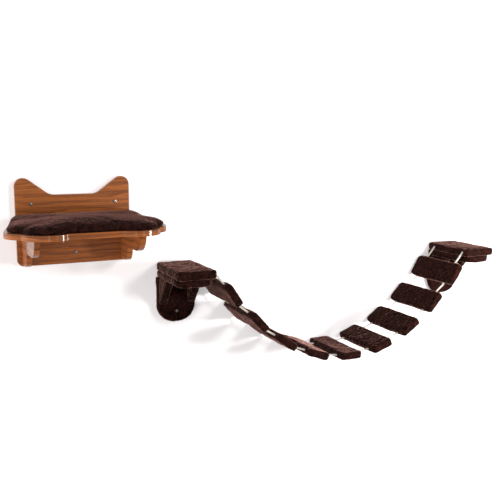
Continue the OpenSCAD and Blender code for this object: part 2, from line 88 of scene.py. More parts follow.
# %% Helpers for materials
def linear(code):
    """An sRGB hex colour as linear RGBA.
    Each part c is c / 12.92 below 0.04045, and ((c + 0.055) / 1.055)^2.4 above."""
    parts = np.array([int(code[i:i + 2], 16) for i in (1, 3, 5)]) / 255
    return (*np.where(parts < 0.04045, parts / 12.92, ((parts + 0.055) / 1.055) ** 2.4).tolist(), 1.0)


def add_node(tree, kind, values=(), links=(), stops=(), **settings):
    """Adds one node. values are its sockets' numbers, and links are what feeds its sockets.
    stops are a colour ramp's places and colours. A new ramp has two stops, so the others are added first."""
    node = tree.nodes.new(kind)
    for name, value in settings.items():
        setattr(node, name, value)
    for socket, value in dict(values).items():
        node.inputs[socket].default_value = value
    for socket, source in dict(links).items():
        tree.links.new(source, node.inputs[socket])
    for place, _ in stops[2:]:
        node.color_ramp.elements.new(place)
    for element, (place, colour) in zip(node.color_ramp.elements if stops else (), stops):
        element.position, element.color = place, linear(colour)
    return node


def new_material(name, **shader_values):
    """A material with one Principled shader, whose constants are set on the shader's own sockets."""
    material = bpy.data.materials.new(name)
    material.use_nodes = True
    shader = material.node_tree.nodes["Principled BSDF"]
    for socket, value in shader_values.items():
        shader.inputs[socket.replace("_", " ")].default_value = value
    return material, material.node_tree, shader


print("pale grey #cccccc in linear light:", [round(c, 3) for c in linear("#cccccc")[:3]])

# %% [markdown]
# Short-pile plush is a knitted polyester with cut fibres about 3 mm long. Seen square on, light falls in
# between the fibres and the cloth looks nearly black. Seen along its surface, the fibres' sides catch the
# light and it turns a dusty pink brown. The shader's sheen does just that. The pile also lies in clumps
# about 17 mm wide that lean one way or the other and rise in tufts. Their colour is painted lighter where the pile
# stands high and darker where it dips: partly the pile's uneven tone, partly a painted highlight on the tufts and
# painted shade between them.

# %% Plush
def plush_material(name, dark, middle, light, shine="#ecae9f", clump=17 * MM, tuft=6 * MM):
    """Dark pile whose clumps and tufts come from noise at their two widths, in relief and in colour. The colour is
    painted light where they rise and dark where they dip, a painted highlight and painted shade.
    """
    material, tree, shader = new_material(
        name, Roughness=0.95, Specular_IOR_Level=0.05, Sheen_Weight=1.0, Sheen_Roughness=0.2,
        Sheen_Tint=linear(shine),
    )
    place = add_node(tree, "ShaderNodeTexCoord").outputs["Object"]
    clumps = add_node(
        tree, "ShaderNodeTexNoise", {"Scale": 1 / clump, "Detail": 2.0, "Roughness": 0.6, "Distortion": 0.8},
        {"Vector": place},
    )
    tufts = add_node(
        tree, "ShaderNodeTexNoise", {"Scale": 1 / tuft, "Detail": 2.0, "Roughness": 0.6}, {"Vector": place}
    )
    pile_height_and_painted_shade = add_node(
        tree, "ShaderNodeMath", {1: 0.45}, {0: tufts.outputs["Fac"], 2: clumps.outputs["Fac"]},
        operation="MULTIPLY_ADD",
    )
    # The ramp paints the high pile light and the low pile dark: a painted highlight on the tufts and painted shade
    # between them, over the real relief.
    colour = add_node(
        tree, "ShaderNodeValToRGB", links={"Fac": pile_height_and_painted_shade.outputs[0]},
        stops=((0.56, dark), (0.94, light), (0.74, middle)),
    )
    tree.links.new(colour.outputs["Color"], shader.inputs["Base Color"])
    relief = add_node(
        tree, "ShaderNodeBump", {"Strength": 1.0, "Distance": 4 * MM}, {"Height": pile_height_and_painted_shade.outputs[0]}
    )
    tree.links.new(relief.outputs["Normal"], shader.inputs["Normal"])
    return material


panel_plush = plush_material("short_pile_plush", "#080302", "#120504", "#2b120c")
cushion_plush = plush_material(
    "cushion_plush", "#0a0403", "#150706", "#2e1511", shine="#a8776c", clump=22 * MM
)
print("plush:", panel_plush.name, cushion_plush.name)

# %% [markdown]
# The shelf is plywood with a walnut veneer under clear lacquer. The veneer is sliced along the trunk, so
# its grain runs in long streaks, and a few dark lines follow the yearly rings. Lacquer adds a thin glossy
# coat, in which the lamps show as bands on the round edges. The wave texture's bands are about 0.31 m
# apart at scale 1, so its scale is that width over the rings' distance.

# %% Walnut veneer
WAVE_BAND = 0.31


def veneer_material(
    name, streak=(420 * MM, 160 * MM, 6 * MM), pore=(22 * MM, 14 * MM, 0.9 * MM), ring=30 * MM
):
    """Streaks from noise that is stretched along the grain, rings from bent bands, and pores from fine
    stretched noise."""
    material, tree, shader = new_material(
        name, Roughness=0.5, Specular_IOR_Level=0.2, Coat_Weight=0.8, Coat_Roughness=0.1, Coat_IOR=1.5
    )
    place = add_node(tree, "ShaderNodeTexCoord").outputs["Object"]
    along = add_node(
        tree, "ShaderNodeMapping", {"Scale": [1 / size for size in streak]}, {"Vector": place}
    ).outputs["Vector"]
    streaks = add_node(
        tree, "ShaderNodeTexNoise", {"Scale": 1.0, "Detail": 5.0, "Roughness": 0.62}, {"Vector": along}
    )
    flame = add_node(
        tree, "ShaderNodeMapping", {"Scale": (1.7, 1.7, 7.5), "Location": (0.35, 0.0, 0.12)},
        {"Vector": place},
    ).outputs["Vector"]
    bend = add_node(tree, "ShaderNodeTexNoise", {"Scale": 2.2, "Detail": 2.0}, {"Vector": flame})
    shifted = add_node(
        tree, "ShaderNodeVectorMath", {"Scale": 60 * MM}, {0: bend.outputs["Color"]}, operation="SCALE"
    )
    moved = add_node(tree, "ShaderNodeVectorMath", links={0: place, 1: shifted.outputs[0]}, operation="ADD")
    rings = add_node(
        tree, "ShaderNodeTexWave", {"Scale": WAVE_BAND / ring, "Distortion": 0.6, "Detail": 2.0},
        {"Vector": moved.outputs[0]}, wave_type="BANDS", bands_direction="Z", wave_profile="SAW",
    )
    pores = add_node(
        tree, "ShaderNodeMapping", {"Scale": [1 / size for size in pore]}, {"Vector": place}
    ).outputs["Vector"]
    pits = add_node(tree, "ShaderNodeTexNoise", {"Scale": 1.0, "Detail": 2.0}, {"Vector": pores})
    mixed = add_node(
        tree, "ShaderNodeMath", {1: 0.34}, {0: rings.outputs["Fac"], 2: streaks.outputs["Fac"]},
        operation="MULTIPLY_ADD",
    )
    grain = add_node(
        tree, "ShaderNodeMath", {1: 0.3}, {0: pits.outputs["Fac"], 2: mixed.outputs[0]},
        operation="MULTIPLY_ADD",
    )
    colour = add_node(
        tree, "ShaderNodeValToRGB", links={"Fac": grain.outputs[0]},
        stops=((0.44, "#3c1706"), (1.06, "#a25a22"), (0.62, "#692f08"), (0.82, "#80410f")),
    )
    tree.links.new(colour.outputs["Color"], shader.inputs["Base Color"])
    relief = add_node(
        tree, "ShaderNodeBump", {"Strength": 0.25, "Distance": 0.2 * MM}, {"Height": pits.outputs["Fac"]}
    )
    tree.links.new(relief.outputs["Normal"], shader.inputs["Normal"])
    return material


walnut = veneer_material("lacquered_walnut_veneer")
print("veneer:", walnut.name)

# %% [markdown]
# The other finishes are small. The rope is twisted white polyester, matt with fine fibres. The screws are
# steel with a bright zinc plating, which is slightly cloudy. The cores inside the plush are birch plywood,
# which shows its layers at the edges, and the dowels are beech with short dark flecks.

# %% Rope, zinc, plywood and beech
def spotted_material(name, dark, light, sizes, relief=0.1 * MM, **shader_values):
    """A colour that wanders between two tones, by noise whose grain has the given size on each axis."""
    material, tree, shader = new_material(name, **shader_values)
    place = add_node(tree, "ShaderNodeTexCoord").outputs["Object"]
    scaled = add_node(tree, "ShaderNodeMapping", {"Scale": [1 / size for size in sizes]}, {"Vector": place})
    noise = add_node(
        tree, "ShaderNodeTexNoise", {"Scale": 1.0, "Detail": 3.0}, {"Vector": scaled.outputs["Vector"]}
    )
    colour = add_node(
        tree, "ShaderNodeValToRGB", links={"Fac": noise.outputs["Fac"]}, stops=((0.35, dark), (0.65, light))
    )
    tree.links.new(colour.outputs["Color"], shader.inputs["Base Color"])
    bump = add_node(
        tree, "ShaderNodeBump", {"Strength": 0.4, "Distance": relief}, {"Height": noise.outputs["Fac"]}
    )
    tree.links.new(bump.outputs["Normal"], shader.inputs["Normal"])
    return material


twisted_rope = spotted_material(
    "twisted_white_rope", "#958e84", "#c2bbb0", (0.9 * MM, 0.9 * MM, 0.9 * MM), 0.2 * MM,
    Roughness=0.85, Specular_IOR_Level=0.2, Sheen_Weight=0.3,
)
zinc = spotted_material(
    "zinc_plated_steel", "#8d8e8e", "#b4b4b1", (3 * MM, 3 * MM, 3 * MM), 0.05 * MM,
    Metallic=1.0, Roughness=0.3,
)
birch_plywood = spotted_material(
    "birch_plywood", "#b98d5a", "#dfc08e", (60 * MM, 60 * MM, 1.5 * MM), Roughness=0.7
)
beech = spotted_material("beech_dowel", "#b5814f", "#d9ab78", (2 * MM, 9 * MM, 9 * MM), Roughness=0.65)
print("small finishes:", twisted_rope.name, zinc.name, birch_plywood.name, beech.name)

# %% [markdown]
# Nature's unevenness comes from value noise, worked out with numpy for all points of a mesh at once.
# Blender has noise textures too, but numbers in hand can move the vertices, so that the lumps of the
# plush are real geometry and not only shading.

# %% Noise for moving vertices
HASH = np.array([374761393, 668265263, 2147483647], dtype=np.int64)
SEED_HASH, MIX_HASH = 1442695041, 1274126177


def lumps(points, size, seed):
    """Value noise from -1 to 1. Space is cut into cubes of the given size, and a hash gives each corner
    a number. A point takes the blend of its cube's eight corners, weighted by 3t^2 - 2t^3 along each
    side."""
    grid = points / size
    cell = np.floor(grid).astype(np.int64)
    part = grid - cell
    ease = part * part * (3 - 2 * part)
    total = np.zeros(len(points))
    for corner in np.ndindex(2, 2, 2):
        key = (cell + corner) @ HASH + seed * SEED_HASH
        key = (key ^ (key >> 13)) * MIX_HASH
        value = ((key ^ (key >> 16)) & 0xFFFF) / 32767.5 - 1
        total += value * np.prod(np.where(np.array(corner) == 1, ease, 1 - ease), axis=1)
    return total


def faded(distance, near, far):
    """1 closer than near, 0 past far, and 3t^2 - 2t^3 between them."""
    t = np.clip((far - distance) / (far - near), 0, 1)
    return t * t * (3 - 2 * t)


sample = lumps(np.random.default_rng(1).uniform(0, 1, (1000, 3)), 0.02, 7)
print("noise runs from", round(float(sample.min()), 2), "to", round(float(sample.max()), 2))

# %% [markdown]
# Every plush panel is a board wrapped in foam and cloth: a block with round corners and soft edges. It is
# one surface over the six sides of a block. The grid is bent in two steps: near a rim it slides round a
# quarter circle, and each corner of the plan is squeezed from a square to a quarter disc.

# %% The skin of a soft block
TINY, TINY_AREA = 1e-9, 1e-12


def block_skin(counts):
    """The skin of a block of whole steps: six grids, one a side, whose shared edges np.unique joins."""
    grids, quads, start = [], [], 0
    for axis in range(3):
        u, v = (axis + 1) % 3, (axis + 2) % 3
        rows, columns = counts[u] + 1, counts[v] + 1
        i, j = np.meshgrid(np.arange(rows), np.arange(columns), indexing="ij")
        first = (np.arange(rows - 1)[:, None] * columns + np.arange(columns - 1)).ravel()
        ring = np.stack([first, first + columns, first + columns + 1, first + 1], axis=1)
        for side in (0, counts[axis]):
            face = np.full((rows * columns, 3), side)
            face[:, u], face[:, v] = i.ravel(), j.ravel()
            grids.append(face)
            quads.append((ring if side else ring[:, ::-1]) + start)
            start += len(face)
    steps, index = np.unique(np.concatenate(grids), axis=0, return_inverse=True)
    return steps, index.ravel()[np.concatenate(quads)]


def soft_block(xs, ys, zs, corner_low, corner_high, edge):
    """Points about the block's middle, and quads. xs, ys and zs are the grid's lines.
    A rim point turns by t = 45 deg + 45 deg * (inset - depth) / edge. It then lies edge * (1 - cos t)
    in from the outline and edge * (1 - sin t) below the face. A plan corner maps (u, v) to
    (u sqrt(1 - v^2/2), v sqrt(1 - u^2/2)), with radius corner_low where y is low and corner_high
    where y is high."""
    steps, quads = block_skin((len(xs) - 1, len(ys) - 1, len(zs) - 1))
    points = np.stack([line[steps[:, axis]] for axis, line in enumerate((xs, ys, zs))], axis=1)
    half = (points.max(0) - points.min(0)) / 2
    points -= (points.max(0) + points.min(0)) / 2
    room = half - np.abs(points)
    inset, depth = room[:, :2].min(axis=1), room[:, 2]
    turn = np.clip(0.5 + 0.5 * (inset - depth) / edge, 0, 1) * np.pi / 2
    wanted = np.where((depth < TINY) & (inset >= edge), inset, edge * (1 - np.cos(turn)))
    size = half[:2] - inset[:, None]
    points[:, :2] *= np.where(size > TINY, (half[:2] - wanted[:, None]) / np.maximum(size, TINY), 1)
    lifted = np.sign(points[:, 2]) * (half[2] - edge + edge * np.sin(turn))
    points[:, 2] = np.where(turn > 0, lifted, points[:, 2])
    radius = np.where(points[:, 1] < 0, corner_low, corner_high)[:, None]
    over = (np.abs(points[:, :2]) - (half[:2] - radius)) / radius
    disc = over * np.sqrt(1 - np.clip(over[:, ::-1], 0, 1) ** 2 / 2)
    bent = np.sign(points[:, :2]) * (half[:2] - radius + radius * disc)
    points[:, :2] = np.where((over > 0).all(axis=1)[:, None], bent, points[:, :2])
    return points, quads


def normals_of(points, quads):
    """Each vertex's normal: the sum of the cross products of the diagonals of the quads round it."""
    corners = points[quads]
    across = np.cross(corners[:, 2] - corners[:, 0], corners[:, 3] - corners[:, 1])
    total = np.zeros_like(points)
    for k in range(4):
        np.add.at(total, quads[:, k], across)
    return total / np.maximum(np.linalg.norm(total, axis=1, keepdims=True), TINY_AREA)


def make_piece(name, points, faces, material, body, replaced=()):
    """A smooth mesh object at the origin, which rides on its body and stands for its CAD nodes."""
    mesh = bpy.data.meshes.new(name)
    mesh.from_pydata(points.tolist(), [], [face.tolist() for face in faces])
    mesh.shade_smooth()
    mesh.materials.append(material)
    piece = bpy.data.objects.new(name, mesh)
    bpy.context.scene.collection.objects.link(piece)
    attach(piece, body)
    if replaced:
        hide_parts(*replaced)
    return piece


test_lines = [np.linspace(0, side, 12) for side in (0.3, 0.2, 0.05)]
test_points, test_quads = soft_block(*test_lines, 0.05, 0.02, 0.01)
print("soft block:", len(test_points), "points,", len(test_quads), "quads")

# %% [markdown]
# The cloth over a board isn't flat. It has slow waves where the foam is uneven, and raised tufts. Where
# a rope goes in, the cloth dips into the hole and swells a little round it, and so it does round a screw.

# %% Plush surface
PILE_WIDE, PILE_FINE, WAVE = 9 * MM, 4 * MM, 45 * MM
PILE_PROUD, LEAST_PILE = 2 * MM, 0.3 * MM
WELL_SKIN, WELL_LIP = 8 * MM, 1.8 * MM
SWELL, SWELL_START, SWELL_END = 1.3 * MM, 1.5 * MM, 9 * MM


def grid_line(low, high, step, fine=(), fine_step=1.3 * MM, reach=11 * MM):
    """A grid line from low to high with about the given step, and finer steps near the places in fine."""
    line = np.linspace(low, high, max(2, int(round((high - low) / step)) + 1))
    for middle in fine:
        close = np.arange(middle - reach, middle + reach, fine_step)
        close = close[(close > low + fine_step) & (close < high - fine_step)]
        line = np.concatenate([line[np.abs(line - middle) > reach], close])
    return np.unique(np.concatenate([line, [low, high]]))


def plush_skin(points, quads, seed, wells=(), creases=(), pile=1.1 * MM, wave=1.5 * MM):
    """Moves each point along its normal by waves, clumps and tufts, but never past the block's back,
    where the wall is. A well is a place, an axis, a radius and a depth: inside the radius the cloth goes
    in along the axis, and it swells just outside. A crease is a function of the points that gives a
    depth along the normal."""
    normals = normals_of(points, quads)
    height = PILE_PROUD + wave * lumps(points, WAVE, seed) + pile * lumps(points, PILE_WIDE, seed + 1)
    height = np.maximum(height + 0.5 * pile * lumps(points, PILE_FINE, seed + 2), LEAST_PILE)
    for crease in creases:
        height -= crease(points)
    moved = points + normals * height[:, None]
    for place, axis, radius, depth in wells:
        axis = np.asarray(axis, float)
        offset = points - place
        along = offset @ axis
        away = np.linalg.norm(offset - along[:, None] * axis, axis=1)
        facing = (normals @ axis > 0.3) & (np.abs(along) < WELL_SKIN)
        dip = depth * faded(away, radius, radius + WELL_LIP)
        swell = SWELL * faded(away, radius + SWELL_START, radius + SWELL_END)
        moved += axis * np.where(facing, np.where(dip > 0.02 * MM, swell * 0.5 - dip, swell), 0)[:, None]
    moved[:, 1] = np.minimum(moved[:, 1], points[:, 1].max())
    return moved


def place_block(points, middle, along, across):
    """Local x, y and z go to along, across and their cross product, from the middle."""
    axes = np.array([along, across, np.cross(along, across)], float)
    return np.asarray(middle) + points @ axes


def plush_piece(name, points, quads, body, replaced):
    """A piece of the panels' plush."""
    make_piece(name, points, quads, panel_plush, body, replaced)


print("raised tufts are", round(PILE_WIDE / MM), "mm wide")

# %% [markdown]
# Each platform is a deck with a round front, a rope board on top of it, a wall plate with a round lower
# end, and two gussets. Each is a soft block. The rope boards have two wells in the side that faces the
# bridge, where the ropes go in, and a few shallow creases on top where the cloth was pulled tight.

# %% Platforms
STEP, EDGE, BOARD_EDGE = 3.2 * MM, 12 * MM, 14 * MM
BOARD_CORNER, DECK_CORNER, PLATE_CORNER, SQUARE_CORNER = 23 * MM, 70 * MM, 83 * MM, 7 * MM
BOARD_MOUTH, PLANK_MOUTH, MOUTH_DEEP = 6.6 * MM, 5.6 * MM, 5 * MM
LOW_SCREW, SCREW_WELL, SCREW_WELL_DEEP = 49 * MM, 6.8 * MM, 1.6 * MM
CREASE_DEEP, CREASE_WIDE, CREASE_RADII = 3 * MM, 5 * MM, (112 * MM, 139 * MM, 170 * MM)
FIRST_JOINT = {"left": "bridge_sway", "right": "plank_9_tip"}
joint_places = {joint["name"]: joint["pos_m"] for joint in frame["joints"]}
ROPE_RADIUS = 4.5 * MM
rope_lines = sorted(
    float(y) for y in {round(v.co.y, 3) for v in nodes["rope_span_0"].data.vertices}
)
ROPE_Y = [rope_lines[0] + ROPE_RADIUS, rope_lines[-1] - ROPE_RADIUS]


def block_lines(low, high, fine_y=(), fine_z=()):
    """Grid lines along X, Y and Z for a block between two corners."""
    return (
        grid_line(low[0], high[0], STEP),
        grid_line(low[1], high[1], STEP, fine_y),
        grid_line(low[2], high[2], STEP, fine_z),
    )


def pull_creases(middle, side):
    """Shallow arcs on the top face, at growing distances r from one point: each is as deep as
    exp(-((distance - r) / width)^2), and fades out towards the face's front and back."""
    def depth(points):
        across = (points[:, 0] - middle[0]) * side + 60 * MM
        distance = np.hypot(across, points[:, 1] - middle[1] + 20 * MM)
        wander = 7 * MM * lumps(points, 60 * MM, 31)
        arcs = [np.exp(-((distance + wander - r) / CREASE_WIDE) ** 2) for r in CREASE_RADII]
        fade = faded(np.abs(points[:, 1] - middle[1] + 40 * MM), 90 * MM, 130 * MM)
        return CREASE_DEEP * sum(arcs) * fade * (points[:, 2] > middle[2])
    return depth


print("ropes at y =", [round(y, 4) for y in ROPE_Y])
for side, towards in (("left", 1), ("right", -1)):
    low, high = (np.array(corner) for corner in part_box(f"{side}_rope_board_cover"))
    middle = (low + high) / 2
    rope_z = joint_places[FIRST_JOINT[side]][2]
    mouth_x = high[0] if towards > 0 else low[0]
    wells = [((mouth_x, y, rope_z), (towards, 0, 0), BOARD_MOUTH, MOUTH_DEEP) for y in ROPE_Y]
    lines = block_lines(low, high, ROPE_Y, [rope_z])
    points, quads = soft_block(*lines, BOARD_CORNER, BOARD_CORNER, BOARD_EDGE)
    points = plush_skin(points + middle, quads, 11 + towards, wells, [pull_creases(middle, towards)])
    plush_piece(f"{side}_rope_board_plush", points, quads, "root", [f"{side}_rope_board_cover"])

    low, high = (np.array(corner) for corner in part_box(f"{side}_deck_cover"))
    points, quads = soft_block(*block_lines(low, high), DECK_CORNER, SQUARE_CORNER, EDGE)
    points = plush_skin(points + (low + high) / 2, quads, 21 + towards)
    plush_piece(f"{side}_deck_plush", points, quads, "root", [f"{side}_deck_cover"])

    low, high = (np.array(corner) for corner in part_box(f"{side}_plate_cover"))
    size = high - low
    screw = (middle[0], low[1], low[2] + LOW_SCREW)
    lines = (
        grid_line(0, size[0], STEP, [size[0] / 2]),
        grid_line(0, size[2], STEP, [LOW_SCREW]),
        grid_line(0, size[1], STEP),
    )
    points, quads = soft_block(*lines, PLATE_CORNER, SQUARE_CORNER, EDGE)
    points = place_block(points, (low + high) / 2, (1, 0, 0), (0, 0, 1))
    points = plush_skin(points, quads, 31 + towards, [(screw, (0, -1, 0), SCREW_WELL, SCREW_WELL_DEEP)])
    plush_piece(f"{side}_plate_plush", points, quads, "root", [f"{side}_plate_cover"])
    print(side, "platform:", len(points), "points on its plate")

# %% [markdown]
# A gusset is a triangle between the wall plate and the deck. It is the same soft block, whose depth then
# shrinks on the way down: the front edge leans back from the deck's underside to the plate.

# %% Gussets
GUSSET_THICK, GUSSET_EDGE, GUSSET_BLUNT = 30 * MM, 7 * MM, 9 * MM
for side in ("left", "right"):
    low, high = (np.array(corner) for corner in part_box(f"{side}_gusset_covers"))
    size = high - low
    lines = (
        grid_line(0, GUSSET_THICK, STEP), grid_line(0, size[1], STEP), grid_line(0, size[2], STEP)
    )
    replaced = [f"{side}_gusset_covers"]
    for name, left_edge, seed in (("outer", low[0], 41), ("inner", high[0] - GUSSET_THICK, 47)):
        points, quads = soft_block(*lines, SQUARE_CORNER, SQUARE_CORNER, GUSSET_EDGE)
        share = np.clip(points[:, 2] / size[2] + 0.5, 0, 1)
        depth = (GUSSET_BLUNT + (size[1] - GUSSET_BLUNT) * share) / size[1]
        points[:, 1] = size[1] / 2 - (size[1] / 2 - points[:, 1]) * depth
        points += (left_edge + GUSSET_THICK / 2, (low[1] + high[1]) / 2, (low[2] + high[2]) / 2)
        points = plush_skin(points, quads, seed, wave=0.5 * MM)
        plush_piece(f"{side}_{name}_gusset_plush", points, quads, "root", replaced)
        replaced = []
print("gussets and the space between them:", np.round(size / MM, 1).tolist(), "mm")

# %% [markdown]
# A plank is the same soft block, turned to the slope that it has in the bridge. Its middle and its slope
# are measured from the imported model: the largest flat face that looks upwards is the plank's top, so its
# normal says which way up is.

# %% Planks
PLANK_STEP = 2.2 * MM


def plank_frame(node):
    """Middle, direction along the bridge, and size of a plank, from the normal of its top."""
    mesh = nodes[node].data
    area, normal = np.zeros(len(mesh.polygons)), np.zeros(len(mesh.polygons) * 3)
    mesh.polygons.foreach_get("area", area)
    mesh.polygons.foreach_get("normal", normal)
    place = np.zeros(len(mesh.vertices) * 3)
    mesh.vertices.foreach_get("co", place)
    place, normal = place.reshape(-1, 3), normal.reshape(-1, 3)
    up = normal[(area * (normal[:, 2] > 0.3) * (np.abs(normal[:, 1]) < 0.01)).argmax()]
    along = np.cross((0, 1, 0), up)
    axes = np.array([along, (0, 1, 0), up])
    spread = place @ axes.T
    low, high = spread.min(0), spread.max(0)
    return (low + high) / 2 @ axes, along, high - low


for number in range(1, 10):
    node = f"plank_{number}_cover"
    middle, along, size = plank_frame(node)
    lines = (
        grid_line(0, size[0], STEP),
        grid_line(0, size[1], STEP, [y - middle[1] + size[1] / 2 for y in ROPE_Y]),
        grid_line(0, size[2], PLANK_STEP),
    )
    points, quads = soft_block(*lines, BOARD_CORNER, BOARD_CORNER, EDGE)
    points = place_block(points, middle, along, (0, 1, 0))
    to_edge = along * size[0] / 2
    wells = [
        (middle + end * to_edge + np.array([0, y - middle[1], 0]), end * along, PLANK_MOUTH, MOUTH_DEEP)
        for end in (-1, 1)
        for y in ROPE_Y
    ]
    points = plush_skin(points, quads, 50 + 3 * number, wells)
    plush_piece(f"plank_{number}_plush", points, quads, body_of_node[node], [node])
print("the last plank:", np.round(size / MM, 1).tolist(), "mm, of", len(points), "points")

# %% [markdown]
# The rope is three strands laid round each other, one turn in about 30 mm. Its surface is a profile
# carried along a path: the profile is the outline of three touching circles, and it turns as it goes.

# %% Ropes
LAY, STRANDS, ROPE_SIDES, ROPE_STEP = 30 * MM, 3, 24, 1.5 * MM
STRAND = ROPE_RADIUS / (1 + 2 / math.sqrt(3))
PACKED = 0.74


def rope_profile(angle):
    """Distance from the rope's middle at an angle: the far side of the nearest strand's circle,
    c cos a + sqrt(s^2 - c^2 sin^2 a), where a is the angle to that strand, but never deeper than the
    packed fibres, a share of the rope's radius."""
    third = 2 * math.pi / STRANDS
    nearest = (angle + third / 2) % third - third / 2
    centre = ROPE_RADIUS - STRAND
    far = centre * np.cos(nearest) + np.sqrt(np.maximum(STRAND**2 - (centre * np.sin(nearest)) ** 2, 0))
    return np.maximum(far, PACKED * ROPE_RADIUS)


def rope_tube(start, end, phase):
    """A twisted tube between two points, and its faces. Rings of the profile turn by 360 degrees in each
    lay, and the last ring at each end closes on the middle."""
    direction = (end - start) / np.linalg.norm(end - start)
    side = np.cross(direction, (0, 1, 0))
    length = np.linalg.norm(end - start)
    along = np.linspace(0, length, max(3, int(length / ROPE_STEP)))[:, None]
    around = np.linspace(0, 2 * math.pi, ROPE_SIDES, endpoint=False)[None, :]
    radius = rope_profile(around - 2 * math.pi * (along + phase) / LAY)
    spokes = np.cos(around)[..., None] * side + np.sin(around)[..., None] * np.cross(direction, side)
    body = start + along[..., None] * direction + radius[..., None] * spokes
    points = np.concatenate([body.reshape(-1, 3), [start, end]])
    rows = len(along)
    turn = np.arange(ROPE_SIDES)
    turned = (turn + 1) % ROPE_SIDES
    first = (np.arange(rows - 1)[:, None] * ROPE_SIDES + turn).ravel()
    beside = (np.arange(rows - 1)[:, None] * ROPE_SIDES + turned).ravel()
    quads = np.stack([first, beside, beside + ROPE_SIDES, first + ROPE_SIDES], axis=1)
    cap = np.full(ROPE_SIDES, rows * ROPE_SIDES)
    last = (rows - 1) * ROPE_SIDES
    ends = [np.stack([cap, turned, turn], 1), np.stack([cap + 1, last + turn, last + turned], 1)]
    return points, [quads, *ends]


def tube_ends(node, longer):
    """The two ends of each rope stretch in a node, found along the stretch's longest direction and then
    moved apart by longer at both ends."""
    place = np.zeros(len(nodes[node].data.vertices) * 3)
    nodes[node].data.vertices.foreach_get("co", place)
    place = place.reshape(-1, 3)
    found = []
    for y in ROPE_Y:
        tube = place[np.abs(place[:, 1] - y) < 8 * MM]
        centre = (tube.max(0) + tube.min(0)) / 2
        flat = (tube - centre) * (1, 0, 1)
        direction = np.linalg.svd(np.unique(np.round(flat, 5), axis=0), full_matrices=False)[2][0]
        direction *= np.sign(direction[0])
        reach = flat @ direction
        middle = centre + direction * (reach.max() + reach.min()) / 2
        middle[1] = y
        half = (reach.max() - reach.min()) / 2 + longer
        found.append((middle - half * direction, middle + half * direction))
    return found


def lay_rope(name, node, longer, phase):
    """Joins both ropes' stretches of one node into one piece."""
    points, faces, start = [], [], 0
    for first, last in tube_ends(node, longer):
        tube, parts = rope_tube(first, last, phase)
        points.append(tube)
        faces += [face for part in parts for face in part + start]
        start += len(tube)
    make_piece(name, np.concatenate(points), faces, twisted_rope, body_of_node[node], [node])
    return float(np.linalg.norm(last - first))


INTO_THE_MOUTH = 1.5 * MM
run = 0.0
for number in range(10):
    run += lay_rope(f"rope_stretch_{number}", f"rope_span_{number}", INTO_THE_MOUTH, run)
    if number < 9:
        run += lay_rope(f"plank_{number + 1}_rope", f"plank_{number + 1}_ropes", 0.0, run)
print("each rope runs", round(run, 3), "m between the platforms")

# %% [markdown]
# The cushion is a sewn cover over a soft filling: a crown that is high at the back, and sides that draw
# in towards the seat. The cloth simulation blows it up like a balloon from its CAD shape, which is how a
# filled cover finds its form, and the swelling is capped so that it stays on its seat.

# %% Cushion
CUSHION_VOXEL, CUSHION_CAP, PRESSURE, FRAMES = 6 * MM, 3.5 * MM, 4, 20
SEAM_HEIGHT, SEAM_DEEP, SEAM_WIDE = 11 * MM, 1.6 * MM, 2.2 * MM
CUSHION_LUMPS = ((1.6 * MM, 60 * MM, 91), (0.6 * MM, 9 * MM, 92), (0.3 * MM, 4 * MM, 93))


def copied_node(node, name):
    """A copy of a CAD node's mesh in a new object."""
    mesh = nodes[node].data.copy()
    mesh.name = name
    piece = bpy.data.objects.new(name, mesh)
    bpy.context.scene.collection.objects.link(piece)
    return piece


def applied(piece, kind, **settings):
    """Adds a modifier, sets it and applies it."""
    modifier = piece.modifiers.new(kind.lower(), kind)
    for name, value in settings.items():
        setattr(modifier, name, value)
    bpy.context.view_layer.objects.active = piece
    bpy.ops.object.modifier_apply(modifier=modifier.name)


def vertex_places(mesh):
    """The vertices of a mesh as an array of places."""
    place = np.zeros(len(mesh.vertices) * 3)
    mesh.vertices.foreach_get("co", place)
    return place.reshape(-1, 3)


def blown_up(piece, cap):
    """Where each vertex goes in a cloth simulation with pressure and no gravity, at most cap away."""
    start = vertex_places(piece.data)
    cloth = piece.modifiers.new("cloth", "CLOTH")
    cloth.settings.use_pressure = True
    cloth.settings.uniform_pressure_force = PRESSURE
    cloth.settings.effector_weights.gravity = 0
    scene = bpy.context.scene
    for step in range(1, FRAMES + 1):
        scene.frame_set(step)
    held = piece.evaluated_get(bpy.context.evaluated_depsgraph_get())
    end = vertex_places(held.data)
    piece.modifiers.remove(cloth)
    scene.frame_set(1)
    move = end - start
    far = np.linalg.norm(move, axis=1, keepdims=True)
    return start + move * np.minimum(1, cap / np.maximum(far, TINY))


cushion = copied_node("seat_cushion", "seat_cushion_plush")
applied(cushion, "WELD", merge_threshold=0.02 * MM)
applied(cushion, "REMESH", mode="VOXEL", voxel_size=CUSHION_VOXEL)
cushion_low, cushion_high = (np.array(corner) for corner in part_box("seat_cushion"))
places = blown_up(cushion, CUSHION_CAP)
cushion.data.vertices.foreach_set("co", places.ravel())
applied(cushion, "SUBSURF", levels=1, render_levels=1)

